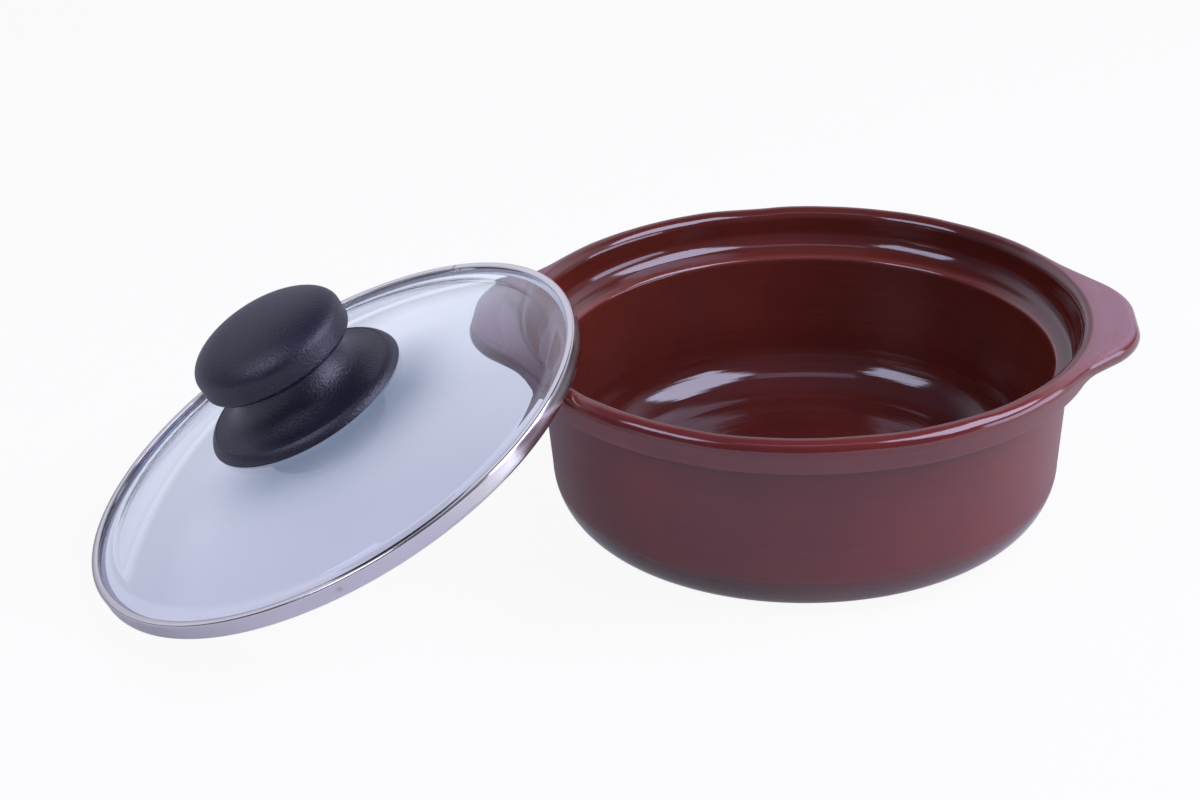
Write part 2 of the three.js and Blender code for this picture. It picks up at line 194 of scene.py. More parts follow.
def bend(first, middle, last, steps=10):
    points = []
    for k in range(steps + 1):
        t = k / steps
        a, b, c = (1 - t) ** 2, 2 * t * (1 - t), t * t
        points.append(tuple(a * p + b * q + c * s for p, q, s in zip(first, middle, last)))
    return points


def line(first, last, steps):
    """Even steps from one point to another, so that a long face keeps square facets."""
    return [tuple(p + (q - p) * k / steps for p, q in zip(first, last)) for k in range(steps + 1)]


def softened(points, reach, closed=False):
    """The outline with its sharp corners rounded off. A closed one ends where it starts."""
    result = []
    for k, corner in enumerate(points):
        here = Vector(corner)
        before = Vector(points[k - 1]) - here
        after = Vector(points[(k + 1) % len(points)]) - here
        is_end = not closed and k in (0, len(points) - 1)
        if is_end or before.angle(after) > math.radians(150):
            result.append(corner)
            continue
        first = here + before * min(reach / before.length, 0.45)
        last = here + after * min(reach / after.length, 0.45)
        result += bend(first, here, last, 4)
    return result + result[:1] if closed else result


print("a square with soft corners has", len(softened([(0, 0), (1, 0), (1, 1), (0, 1)], 0.1, True)), "points")

# %% [markdown]
# ## The spinning tree
# A potter's wheel makes the same section at every angle, and so does this tree: it lays out a grid of
# angles by section points, and moves each grid point to its place on the spun surface. The outline is
# the object's own mesh, so one tree serves every turned piece. Screw and Spin modifiers would do as
# much for plain pieces, but the pot's ears need the angle inside the tree.

# %% Trees with named inputs
MERGE_DISTANCE = 0.003 * MM
SHARP_ANGLE = 0.6


def geometry_tree(name, inputs):
    tree = bpy.data.node_groups.new(name, "GeometryNodeTree")
    sketch = Sketch(tree)
    tree.interface.new_socket("Geometry", in_out="INPUT", socket_type="NodeSocketGeometry")
    for label, kind in inputs.items():
        tree.interface.new_socket(label, in_out="INPUT", socket_type=kind)
    tree.interface.new_socket("Geometry", in_out="OUTPUT", socket_type="NodeSocketGeometry")
    return sketch, sketch.add("NodeGroupInput", None, None, "Geometry")


def grid_of(sketch, outline, around):
    """A flat grid with a column for each angle and a row for each outline point, with both as values."""
    settings = {"component": "MESH"}
    count = sketch.add("GeometryNodeAttributeDomainSize", settings, {"Geometry": outline}, "Point Count")
    sockets = {"Size X": 1.0, "Size Y": 1.0, "Vertices X": around + 1, "Vertices Y": count}
    grid = sketch.add("GeometryNodeMeshGrid", None, sockets, "Mesh")
    x, y, _ = sketch.parts(sketch.add("GeometryNodeInputPosition"))
    angle = (x + 0.5) * math.tau
    row = ((y + 0.5) * (count - 1)).math("ROUND")
    return grid, angle, row


def sampled(sketch, outline, row, value):
    """A vector of the outline at a grid row."""
    settings = {"data_type": "FLOAT_VECTOR", "domain": "POINT"}
    sockets = {"Geometry": outline, "Value": value, "Index": row}
    return sketch.add("GeometryNodeSampleIndex", settings, sockets)


def spun(sketch, grid, angle, radius, height, material):
    """Moves the grid round the axis, closes its seam and poles, and finishes the tree."""
    place = sketch.vector(radius * angle.math("COSINE"), radius * angle.math("SINE"), height)
    shape = sketch.add("GeometryNodeSetPosition", None, {"Geometry": grid, "Position": place})
    shape = sketch.add("GeometryNodeMergeByDistance", None, {"Geometry": shape, "Distance": MERGE_DISTANCE})
    return finished(sketch, shape, material)


def finished(sketch, shape, material):
    """Shades smoothly up to sharp edges, makes copies real and sets the finish."""
    fold = sketch.add("GeometryNodeInputMeshEdgeAngle", None, None, "Unsigned Angle")
    sockets = {"Geometry": shape, "Shade Smooth": True}
    shape = sketch.add("GeometryNodeSetShadeSmooth", {"domain": "FACE"}, sockets)
    sharp = fold.math("GREATER_THAN", SHARP_ANGLE)
    sockets = {"Geometry": shape, "Selection": sharp, "Shade Smooth": False}
    shape = sketch.add("GeometryNodeSetShadeSmooth", {"domain": "EDGE"}, sockets)
    shape = sketch.add("GeometryNodeRealizeInstances", None, {"Geometry": shape})
    shape = sketch.add("GeometryNodeSetMaterial", None, {"Geometry": shape, "Material": material})
    sketch.add("NodeGroupOutput", None, {"Geometry": shape})
    return sketch.tree


# %% The tree for plain turned pieces
def turning_tree():
    inputs = {"Around": "NodeSocketInt", "Finish": "NodeSocketMaterial"}
    sketch, outline = geometry_tree("turned_piece", inputs)
    grid, angle, row = grid_of(sketch, outline, outline.other("Around"))
    drawn = sketch.add("GeometryNodeInputPosition")
    radius, _, height = sketch.parts(sampled(sketch, outline, row, drawn))
    return spun(sketch, grid, angle, radius, height, outline.other("Finish"))


turned_tree = turning_tree()
print("turned_piece has", len(turned_tree.nodes), "nodes")

# %% [markdown]
# A modifier's mesh is only borrowed while the modifier is live. Each piece is therefore turned into
# a plain mesh, put where it belongs and hung on the body that carries it, and the solid it stands
# for is hidden.


# %% From an outline to a finished piece
def outline_object(name, outline):
    mesh = bpy.data.meshes.new(name)
    mesh.from_pydata([(r * MM, 0, z * MM) for r, z in outline], [], [])
    piece = bpy.data.objects.new(name, mesh)
    bpy.context.scene.collection.objects.link(piece)
    return piece


def run_tree(piece, tree, **values):
    modifier = piece.modifiers.new(tree.name, "NODES")
    modifier.node_group = tree
    for label, value in values.items():
        socket = next(s for s in tree.interface.items_tree if s.name == label and s.in_out == "INPUT")
        modifier[socket.identifier] = value
    graph = bpy.context.evaluated_depsgraph_get()
    made = bpy.data.meshes.new_from_object(piece.evaluated_get(graph))
    piece.modifiers.clear()
    piece.data = made
    return piece


def settle(piece, node, body, matrix=Matrix.Identity(4)):
    piece.data.transform(matrix)
    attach(piece, body)
    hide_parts(node)
    triangles = sum(len(face.vertices) - 2 for face in piece.data.polygons)
    print(piece.name, "stands for", node, "with", triangles, "triangles")
    return piece


def turned(name, outline, around, finish):
    return run_tree(outline_object(name, outline), turned_tree, Around=around, Finish=finish)


# %% [markdown]
# ## Brown glaze
# The clay is dipped in a red-brown glaze. Inside it is glossy and shows the lamps as hard-edged
# panes; outside it is thinner and satin. On every sharp edge the glaze draws back and the red of
# the clay shows. The ears' tops get a painted sheen, a paler lavender glaze colour. The hollow
# under the collar and the floor of the bowl get painted shade, a darker glaze colour. The wheel
# leaves fine rings, which break the edges of the reflections, and a few pinholes stay where bubbles
# burst. A painted picture could hold all this, but everything here follows the distance from the
# axis and the height, so masks worked out from Object coordinates do it without a seam. Each mask
# is a ramp between two places on the pot.

# %% Sizes of the pot that its glaze and its section share
pot_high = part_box("pot_body")[1] / MM
POT_HEIGHT = pot_high.z
LIP_RADIUS = pot_high.y
BOX_MARGIN = 0.05
EAR_LENGTH = pot_high.x - pot_high.y - BOX_MARGIN
LIP_ROUND = 4.0
RECESS_DEPTH = 15.0
COLLAR_HEIGHT = 13.4
COLLAR_BOTTOM = POT_HEIGHT - COLLAR_HEIGHT
COLLAR_RADIUS = LIP_RADIUS - 3.2
LEDGE_HEIGHT = POT_HEIGHT - RECESS_DEPTH
MOUTH_RADIUS = 92.2
WALL_MIDDLE = 94.5
print("pot is", round(POT_HEIGHT, 1), "mm high and", round(2 * LIP_RADIUS, 1), "mm across its lip")


# %% Materials and the coordinates they read
def new_finish(name):
    material = bpy.data.materials.new(name)
    material.use_nodes = True
    return material, Sketch(material.node_tree)


def surface(sketch, sockets):
    shader = sketch.add("ShaderNodeBsdfPrincipled", None, sockets, "BSDF")
    sketch.add("ShaderNodeOutputMaterial", None, {"Surface": shader})


def own_place(sketch):
    return sketch.add("ShaderNodeTexCoord", None, None, "Object")


def lid_place(sketch):
    """Object coordinates turned back to the lid's own axis."""
    place, turn, _ = lid_matrix.inverted().decompose()
    sockets = {"Vector": own_place(sketch), "Location": place, "Rotation": turn.to_euler()}
    return sketch.add("ShaderNodeMapping", {"vector_type": "POINT"}, sockets)


def noise(sketch, vector, scale, detail=2.0, roughness=0.5):
    sockets = {"Vector": vector, "Scale": scale, "Detail": detail, "Roughness": roughness}
    return sketch.add("ShaderNodeTexNoise", {"noise_dimensions": "3D"}, sockets, "Fac")


def raised(sketch, height, depth, under=None):
    """A Bump node of that depth in metres."""
    sockets = {"Height": height, "Distance": depth, "Strength": 1.0}
    if under is not None:
        sockets["Normal"] = under
    return sketch.add("ShaderNodeBump", None, sockets, "Normal")


# %% The glaze
GLAZE_DARK = (0.085, 0.0134, 0.0102, 1)
GLAZE_RED = (0.206, 0.0330, 0.0182, 1)
GLAZE_THIN_DARK = (0.114, 0.0142, 0.0138, 1)
GLAZE_THIN_RED = (0.244, 0.0325, 0.0235, 1)
GLAZE_EDGE = (0.330, 0.060, 0.042, 1)
# The ears' colour is a painted sheen: a paler lavender that stands for light on the ears' tops.
GLAZE_EAR_PAINTED_SHEEN = (0.460, 0.250, 0.310, 1)
# The pool colour is a painted shade for the collar's shadow in the hollow under it.
GLAZE_COLLAR_PAINTED_SHADE = (0.040, 0.0090, 0.0100, 1)
INSIDE_GLOSS = 0.08
OUTSIDE_SATIN = 0.32
PINHOLE_SHARE = 0.07
GLAZE_RELIEF = 0.15 * MM


class Places:
    """Where a point of the glaze lies on the pot, as masks from 0 to 1."""

    def __init__(self, sketch, place):
        x, y, z = sketch.parts(place)
        self.x = x
        self.radius = radius = (x * x + y * y).math("SQRT") / MM
        self.height = height = z / MM
        skin_middle = (WALL_MIDDLE + (height - LEDGE_HEIGHT + 3.5) * 1.3).most(WALL_MIDDLE)
        self.inside = (skin_middle.least(LIP_RADIUS - LIP_ROUND) - radius + 0.5).clamped()
        self.outside = 1.0 - self.inside
        self.deep_shade = self.inside * height.ramp(44.0, 8.0)
        # Mask for painted shade: the glaze is painted darker towards the bowl's floor.
        self.bowl_wall = self.inside * height.ramp(26.0, 36.0)
        self.bowl_wall *= height.ramp(LEDGE_HEIGHT - 2.5, LEDGE_HEIGHT - 4.5)
        self.lip = height.ramp(POT_HEIGHT - 5.5, POT_HEIGHT - 3.0)
        self.ear = radius.ramp(LIP_RADIUS, LIP_RADIUS + LIP_ROUND)
        self.under_edge = height.ramp(POT_HEIGHT - 1.4, POT_HEIGHT - 2.2)
        # Mask for the painted sheen on the ears' tops.
        self.ear_top_sheen = (abs(x) / MM).ramp(LIP_RADIUS - 25.0, LIP_RADIUS) * (1.0 - self.under_edge)
        # Mask for the painted shade in the hollow under the collar.
        self.collar_shade = height.ramp(COLLAR_BOTTOM - 6.5, COLLAR_BOTTOM - 3.5)
        self.collar_shade *= height.ramp(COLLAR_BOTTOM - 0.5, COLLAR_BOTTOM - 1.5)

    def near(self, r, h, width):
        """1 on a ring round the pot, and less the further away from it."""
        away = (self.radius - r) ** 2.0 + (self.height - h) ** 2.0
        return (away * (-1.0 / width**2)).math("EXPONENT")

    def edges(self):
        """Where the glaze is thin: on top of the lip, on the collar's edge and round the bowl's mouth."""
        lip = self.height.ramp(POT_HEIGHT - 2.4, POT_HEIGHT - 0.4) * self.outside
        collar = self.near(COLLAR_RADIUS - 0.4, COLLAR_BOTTOM + 1.0, 1.3)
        mouth = self.near(MOUTH_RADIUS + 0.8, LEDGE_HEIGHT - 1.6, 1.6)
        return (lip * 0.25 + collar * 0.12 + mouth * 0.5).clamped()


def brown_glaze():
    material, sketch = new_finish("brown_glaze")
    place = own_place(sketch)
    on = Places(sketch, place)
    clouds = noise(sketch, place, 22.0, 3.0)
    turning = sketch.vector(on.radius * 0.6, on.height * 0.6, on.x * 9.0)
    rings = noise(sketch, turning, 1.0, 3.0, 0.6)
    # Less warmth deep in the bowl is painted shade.
    warmth = (clouds * 0.9 + rings * 0.5 - 0.2 - on.deep_shade * 0.3).clamped()
    thick = sketch.blend(warmth, GLAZE_DARK, GLAZE_RED)
    thin = sketch.blend(warmth, GLAZE_THIN_DARK, GLAZE_THIN_RED)
    # Painted sheen: the ears' tops turn paler lavender.
    thin = sketch.blend(on.ear_top_sheen * 0.55, thin, GLAZE_EAR_PAINTED_SHEEN)
    # Painted shade: the hollow under the collar turns dark.
    thin = sketch.blend(on.collar_shade * 0.6, thin, GLAZE_COLLAR_PAINTED_SHADE)
    colour = sketch.blend(on.edges(), sketch.blend(on.inside, thin, thick), GLAZE_EDGE)

    cells = {"Vector": place, "Scale": 75.0}
    holes = sketch.add("ShaderNodeTexVoronoi", {"feature": "F1"}, cells, "Distance")
    chance = sketch.parts(holes.other("Color"))[0].math("GREATER_THAN", 1.0 - PINHOLE_SHARE)
    pit = (1.0 - holes * 28.0).clamped() * chance
    peel = noise(sketch, place, 420.0, 1.0)
    drips = noise(sketch, place, 160.0, 2.0) * on.lip
    relief = rings * 0.45 + peel * 0.07 - pit + drips * 0.3
    smoother = on.lip * (1.0 - on.ear * 0.7) * 0.31 + on.ear * on.under_edge * 0.2
    satin = on.outside * (OUTSIDE_SATIN - smoother)
    surface(sketch, {
        "Base Color": colour,
        "Roughness": INSIDE_GLOSS + on.bowl_wall * 0.13 + satin + clouds * 0.04,
        "IOR": 1.68,
        "Normal": raised(sketch, relief, GLAZE_RELIEF),
    })
    return material


glaze = brown_glaze()
print(glaze.name, "has", len(glaze.node_tree.nodes), "nodes")

# %% [markdown]
# ## The pot
# Wall, seat, lip and ears are one skin. Two sections describe it: one between the ears and one
# through the middle of an ear. They have the same number of points, so the tree can slide each
# point from the first to the second by as much as the rim swells out at that angle. The rim's plan
# is the lip's circle joined to a tongue with a straight tip and slanted sides, and each join is rounded.

# %% Section of the pot
RECESS_FILLET = 8.8
RECESS_TURN = 52.0
LIP_INNER = LIP_RADIUS - 2 * LIP_ROUND - 0.2
SEAT_FOOT = LIP_INNER - RECESS_FILLET * (1 - math.cos(math.radians(RECESS_TURN)))
LEDGE_FALL = 1.2
MOUTH_ROUND = 2.0
BOWL_FOOT = MOUTH_RADIUS - 4.4
BOWL_FILLET = 19.0
FLOOR_THICKNESS = 7.5
RING_PITCH = 7.5
RING_DEPTH = 0.07
WALL_TOP = 98.0
WALL_FOOT = WALL_TOP - 2.8
FOOT_ROUND = (18.0, 21.0)
COLLAR_ROUND = 1.5
COLLAR_FILLET = 6.0
COLLAR_SLOPE = 23.4
EAR_UNDERCUT = 72.0
EAR_FALL = 0.8
FLOOR_STEPS = 42


def floor_of_bowl():
    """Finger rings left by throwing, which fade towards the middle."""
    flat = BOWL_FOOT - BOWL_FILLET
    points = []
    for r, _ in line((flat, 0), (0, 0), FLOOR_STEPS):
        scallop = abs(math.sin(math.pi * r / RING_PITCH))
        points.append((r, FLOOR_THICKNESS - RING_DEPTH * scallop * r / flat))
    return points


def outside_of_pot(ear):
    """The outside from the base's middle to the top of the lip. Ear is 0 between the ears and 1 on one."""
    edge = LIP_RADIUS + EAR_LENGTH * ear
    undercut = COLLAR_SLOPE + (EAR_UNDERCUT - COLLAR_SLOPE) * ear
    middle = POT_HEIGHT - LIP_ROUND - EAR_FALL * ear
    lip = arc(edge - LIP_ROUND, middle, LIP_ROUND, -undercut, 90, 16)
    collar_middle = (COLLAR_RADIUS - COLLAR_ROUND, COLLAR_BOTTOM + COLLAR_ROUND)
    collar = arc(*collar_middle, COLLAR_ROUND, -90, -COLLAR_SLOPE)
    hollow = (COLLAR_RADIUS + 1.4 + 1.6 * ear, middle - LIP_ROUND - 1 + ear)
    wall_top = (WALL_TOP, COLLAR_BOTTOM - COLLAR_FILLET)
    return [
        *line((0, 0), (WALL_FOOT - FOOT_ROUND[0], 0), 8),
        *oval(WALL_FOOT - FOOT_ROUND[0], FOOT_ROUND[1], *FOOT_ROUND, -90, 0, 16)[1:],
        *line((WALL_FOOT, FOOT_ROUND[1]), wall_top, 10)[1:],
        *bend(wall_top, (WALL_TOP, COLLAR_BOTTOM), collar[0])[1:],
        *collar[1:],
        *bend(collar[-1], hollow, lip[0])[1:],
        *lip[1:],
    ]


def inside_of_pot():
    """The inside from the top of the lip over the seat and down to the middle of the floor."""
    ledge_slope = math.degrees(math.atan2(LEDGE_FALL, SEAT_FOOT - MOUTH_RADIUS - MOUTH_ROUND))
    mouth_top = LEDGE_HEIGHT - LEDGE_FALL
    seat_middle = LEDGE_HEIGHT + RECESS_FILLET * math.sin(math.radians(RECESS_TURN))
    bowl_fillet = (BOWL_FOOT - BOWL_FILLET, FLOOR_THICKNESS + BOWL_FILLET, BOWL_FILLET)
    mouth_middle = (MOUTH_RADIUS + MOUTH_ROUND, mouth_top - MOUTH_ROUND)
    seat = arc(LIP_INNER - RECESS_FILLET, seat_middle, RECESS_FILLET, 0, -RECESS_TURN, 14)
    mouth = arc(*mouth_middle, MOUTH_ROUND, 90 + ledge_slope, 180, 10)
    return [
        *arc(LIP_INNER + LIP_ROUND, POT_HEIGHT - LIP_ROUND, LIP_ROUND, 90, 180, 12),
        *seat[:-1],
        *bend(seat[-2], seat[-1], mouth[0], 8)[1:4],
        *mouth,
        *line(mouth[-1], (BOWL_FOOT, bowl_fillet[1]), 12)[1:],
        *arc(*bowl_fillet, 0, -90, 24)[1:],
        *floor_of_bowl()[1:],
    ]


plain_section = outside_of_pot(0) + inside_of_pot()
ear_section = outside_of_pot(1) + inside_of_pot()
print("each section of the pot has", len(plain_section), "points")


# %% The pot's tree
EAR_SECTION = "ear_section"
DENT_WIDTH = 0.11
WAVES = 2.2


def rounded_least(a, b, width):
    near = (width - abs(a - b)).most(0.0) / width
    return a.least(b) - near * near * (width / 4)


def rounded_most(a, b, width):
    near = (width - abs(a - b)).most(0.0) / width
    return a.most(b) + near * near * (width / 4)


def pot_tree():
    inputs = {
        "Around": "NodeSocketInt",
        "Lip radius": "NodeSocketFloat",
        "Ear length": "NodeSocketFloat",
        "Ear tip width": "NodeSocketFloat",
        "Ear flare": "NodeSocketFloat",
        "Ear corner": "NodeSocketFloat",
        "Ear blend": "NodeSocketFloat",
        "Rim wave": "NodeSocketFloat",
        "Dent angle": "NodeSocketFloat",
        "Dent depth": "NodeSocketFloat",
        "Finish": "NodeSocketMaterial",
    }
    sketch, outline = geometry_tree("thrown_pot", inputs)
    lip, length = outline.other("Lip radius"), outline.other("Ear length")
    grid, angle, row = grid_of(sketch, outline, outline.other("Around"))

    reach = lip + length
    normal = math.pi / 2 - outline.other("Ear flare")
    across = abs(angle.math("SINE").math("ARCSINE"))
    to_side = reach * normal.math("COSINE") + outline.other("Ear tip width") / 2 * normal.math("SINE")
    tip = reach / across.least(normal).math("COSINE")
    side = to_side / (normal - across).most(0.0).math("COSINE")
    tongue = rounded_least(tip, side, outline.other("Ear corner"))
    swell = (rounded_most(tongue, lip, outline.other("Ear blend")) - lip) / length

    plain = sampled(sketch, outline, row, sketch.add("GeometryNodeInputPosition"))
    settings = {"data_type": "FLOAT_VECTOR"}
    stored = sketch.add("GeometryNodeInputNamedAttribute", settings, {"Name": EAR_SECTION})
    at_ear = sampled(sketch, outline, row, stored)
    settings = {"data_type": "VECTOR", "clamp_factor": False}
    sockets = {"Factor": swell, "A": plain, "B": at_ear}
    section = sketch.add("ShaderNodeMix", settings, sockets, "Result")
    radius, _, height = sketch.parts(section)

    turn = sketch.vector(angle.math("COSINE"), angle.math("SINE"), 0.0)
    wave = noise(sketch, turn, WAVES) - 0.5
    from_dent = (angle - outline.other("Dent angle")) / DENT_WIDTH
    dent = (from_dent * from_dent * -1.0).math("EXPONENT") * outline.other("Dent depth")
    at_rim = (height / (POT_HEIGHT * MM)) ** 6.0
    height = height + at_rim * (wave * outline.other("Rim wave") - dent)
    return spun(sketch, grid, angle, radius, height, outline.other("Finish"))


# %% Make the pot
def throw_pot():
    pot = outline_object("glazed_pot", plain_section)
    ear = pot.data.attributes.new(EAR_SECTION, "FLOAT_VECTOR", "POINT")
    for value, (r, z) in zip(ear.data, ear_section):
        value.vector = (r * MM, 0, z * MM)
    sizes = {"Lip radius": LIP_RADIUS, "Ear length": EAR_LENGTH, "Ear tip width": 41.0, "Ear corner": 10.0}
    sizes |= {"Ear blend": 2.5, "Rim wave": 1.6, "Dent depth": 0.5}
    turns = {"Ear flare": 49.0, "Dent angle": 101.0}
    values = {label: size * MM for label, size in sizes.items()}
    values |= {label: math.radians(turn) for label, turn in turns.items()}
    return run_tree(pot, pot_tree(), Around=480, Finish=glaze, **values)


settle(throw_pot(), "pot_body", "pot")

# %% [markdown]
# ## Glass
# The lid is a shallow dome of pressed glass with a short flat rim. Glass needs a real thickness, so
# that it bends what is behind it and mirrors the room on both faces. A thin sheet with a see-through
# finish would be quicker, but its rim would show no edge. The tint is in the base colour: a pale
# blue with painted light in it. It is darker at the front, a painted shade for the shaded table
# seen through the glass, and paler towards the back, a painted reflection of the wall behind that
# clear glass mirrors. Beside the knob, on the side where the dome mirrors it, it deepens into a
# painted dark reflection of the knob.

# %% The glass finish
TINT_FRONT = -60.0
TINT_BACK = 55.0
SHADE_RADIUS = 39.0
SHADE_WIDTH = 15.0
SHADE_ANGLE = math.radians(-60.0)
# The front colour is a painted shade for the shaded table seen through the glass; the back colour is a
# painted reflection of the wall behind.
GLASS_FRONT_PAINTED_SHADE = (0.525, 0.55, 0.73, 1)
GLASS_BACK_PAINTED_REFLECTION = (0.80, 0.86, 1.0, 1)
# The shade colour is a painted dark reflection of the knob in the dome.
GLASS_SHADE = (0.215, 0.264, 0.388, 1)


def pale_glass():
    material, sketch = new_finish("pale_glass")
    place = lid_place(sketch)
    drift = noise(sketch, place, 7.0, 1.0)
    smear = noise(sketch, place, 55.0, 4.0, 0.65)
    x, y, _ = sketch.parts(place)
    radius = (x * x + y * y).math("SQRT")
    # Mask for the painted reflection of the knob, on one side of it.
    from_knob = (radius - SHADE_RADIUS * MM) / (SHADE_WIDTH * MM)
    towards = x * math.cos(SHADE_ANGLE) + y * math.sin(SHADE_ANGLE)
    facing = (towards / radius * 1.3).clamped()
    shade = (from_knob * from_knob * -1.0).math("EXPONENT") * facing
    way_back = (y / MM - TINT_FRONT) / (TINT_BACK - TINT_FRONT)
    # The change from front to back is painted light: shade at the front, the wall's reflection at the back.
    depth = (way_back + drift * 0.3 - 0.15).clamped()
    colour = sketch.blend(depth, GLASS_FRONT_PAINTED_SHADE, GLASS_BACK_PAINTED_REFLECTION)
    colour = sketch.blend(shade, colour, GLASS_SHADE)
    surface(sketch, {
        "Base Color": colour,
        "Roughness": (smear - 0.55).most(0.0) * 0.10,
        "IOR": 1.52,
        "Transmission Weight": 1.0,
        "Coat Weight": 0.35,
    })
    return material


glass = pale_glass()
print(glass.name, "has", len(glass.node_tree.nodes), "nodes")

# %% Outline of the glass
LID_RADIUS = 97.9
BAND_SHEET = 0.6
GAP = 0.3
HEM_RADIUS = 1.3
FOOT_BOTTOM = HEM_RADIUS + 0.3
FOOT_TOP = FOOT_BOTTOM + BAND_SHEET
GLASS_THICKNESS = 3.6
GLASS_LOW = FOOT_TOP + GAP
GLASS_HIGH = GLASS_LOW + GLASS_THICKNESS
GLASS_RADIUS = LID_RADIUS - BAND_SHEET - GAP
DOME_RISE = 20.8
DOME_RADIUS = 202.3
DOME_FILLET = 8.0
GLASS_HOLE = 4.0
dome_middle = GLASS_HIGH + DOME_RISE - DOME_RADIUS
fillet_reach = DOME_RADIUS + DOME_FILLET
dome_angle = math.degrees(math.acos((GLASS_HIGH + DOME_FILLET - dome_middle) / fillet_reach))
flat_radius = fillet_reach * math.sin(math.radians(dome_angle))


def dome_height(r, thickness=0.0):
    """Height of the dome's upper face, or of a face that much deeper in the glass."""
    return dome_middle + math.sqrt((DOME_RADIUS - thickness) ** 2 - r * r)


def glass_outline():
    inner = DOME_RADIUS - GLASS_THICKNESS
    fillet_middle = GLASS_HIGH + DOME_FILLET
    edge = GLASS_THICKNESS / 2
    outer_fillet = DOME_FILLET + GLASS_THICKNESS
    hole_low = math.degrees(math.acos(GLASS_HOLE / inner))
    hole_high = math.degrees(math.acos(GLASS_HOLE / DOME_RADIUS))
    ring = [
        *arc(0, dome_middle, inner, hole_low, 90 - dome_angle, 40),
        *arc(flat_radius, fillet_middle, outer_fillet, 270 - dome_angle, 270, 12)[1:],
        *arc(GLASS_RADIUS - edge, GLASS_LOW + edge, edge, -90, 90, 12),
        *arc(flat_radius, fillet_middle, DOME_FILLET, 270, 270 - dome_angle, 12),
        *arc(0, dome_middle, DOME_RADIUS, 90 - dome_angle, hole_high, 40)[1:],
    ]
    return ring + ring[:1]


settle(turned("glass_dome", glass_outline(), 256, glass), "lid_glass", "lid", lid_matrix)

# %% [markdown]
# ## The steel band
# A strip of stainless sheet is rolled round the edge of the glass: a bright lip over it, a finely
# scratched face, a hem turned in at the bottom and a foot that holds the glass from below. A bevelled
# curve could carry the strip round, but the turning tree is there already, and it keeps the sheet's
# thickness. The rollers leave short marks across the strip, and its two ends meet in a welded seam.

# %% The steel finish
SEAM_ANGLE = 64.0
SPOT_ANGLE = -81.0
FACE_MIDDLE = 3.6
STEEL_DULL = (0.62, 0.58, 0.565, 1)
STEEL_BRIGHT = (0.82, 0.775, 0.755, 1)
STEEL_BURNT = (0.24, 0.22, 0.22, 1)


def rolled_steel():
    material, sketch = new_finish("rolled_steel")
    x, y, z = sketch.parts(lid_place(sketch))
    angle = y.math("ARCTAN2", x)
    height = z / MM
    marks = noise(sketch, sketch.vector(angle * 120.0, height * 0.4, 0.0), 1.0, 2.0)
    patches = noise(sketch, sketch.vector(x * 60.0, y * 60.0, height * 0.4), 1.0, 2.0)
    cloud = noise(sketch, sketch.vector(x, y, z), 14.0, 3.0)
    from_middle = abs(height - FACE_MIDDLE)
    on_face = from_middle.ramp(3.0, 0.0)
    strength = (patches - 0.35).clamped() * on_face

    def mark_at(degrees, width):
        away = (angle - math.radians(degrees)) * (LID_RADIUS / width)
        return (away * away * -1.0).math("EXPONENT")

    seam = mark_at(SEAM_ANGLE, 0.5)
    spot = mark_at(SPOT_ANGLE, 1.1) * from_middle.ramp(1.4, 0.0)
    colour = sketch.blend(cloud, STEEL_DULL, STEEL_BRIGHT)
    colour = sketch.blend((seam * 0.6 + spot * 0.5).clamped(), colour, STEEL_BURNT)
    surface(sketch, {
        "Base Color": colour,
        "Metallic": 1.0,
        "Roughness": 0.13 + on_face * 0.10 + marks * strength * 0.25 + seam * 0.2,
        "Normal": raised(sketch, marks * strength - seam, 0.04 * MM),
    })
    return material


steel = rolled_steel()
print(steel.name, "has", len(steel.node_tree.nodes), "nodes")

# %% Outline of the band
LIP_GAP = 0.05
BAND_HIGH = GLASS_HIGH + LIP_GAP + BAND_SHEET
BAND_LIP = 2.7
BAND_ROUND = 0.7
BAND_FOOT = 1.6
hem_middle = LID_RADIUS - HEM_RADIUS


def band_outline():
    lip = LID_RADIUS - BAND_LIP
    under_lip = BAND_HIGH - BAND_SHEET
    hem_gap = HEM_RADIUS - BAND_SHEET
    foot = hem_middle - HEM_RADIUS - BAND_FOOT
    half = BAND_SHEET / 2
    ring = [
        (LID_RADIUS - BAND_SHEET, under_lip),
        *arc(hem_middle, HEM_RADIUS, hem_gap, 360, 180, 10),
        (hem_middle - hem_gap, FOOT_TOP),
        *arc(foot, FOOT_TOP - half, half, 90, 270, 8),
        (hem_middle - HEM_RADIUS, FOOT_BOTTOM),
        *arc(hem_middle, HEM_RADIUS, HEM_RADIUS, -180, 0, 20),
        *line((LID_RADIUS, HEM_RADIUS), (LID_RADIUS, BAND_HIGH - BAND_ROUND), 6)[1:],
        *arc(LID_RADIUS - BAND_ROUND, BAND_HIGH - BAND_ROUND, BAND_ROUND, 0, 90, 8)[1:],
        *arc(lip + half, BAND_HIGH - half, half, 90, 270, 8),
    ]
    return ring + ring[:1]


settle(turned("rolled_band", band_outline(), 360, steel), "lid_band", "lid", lid_matrix)

# %% [markdown]
# ## The knob
# One moulding in black plastic: a base with a rounded edge, a bell that rises to a waist for two
# fingers, and a crowned cap. Joining three separate turned shapes would leave creases, so one outline
# runs over all of them and back through the hollow below. The mould's skin has a fine spark grain,
# which keeps the gloss low and breaks the highlights into specks.

# %% The plastic finish
PLASTIC_BLACK = (0.004, 0.0030, 0.011, 1)
PLASTIC_WORN = (0.016, 0.0130, 0.036, 1)
GRAIN_DEPTH = 0.22 * MM


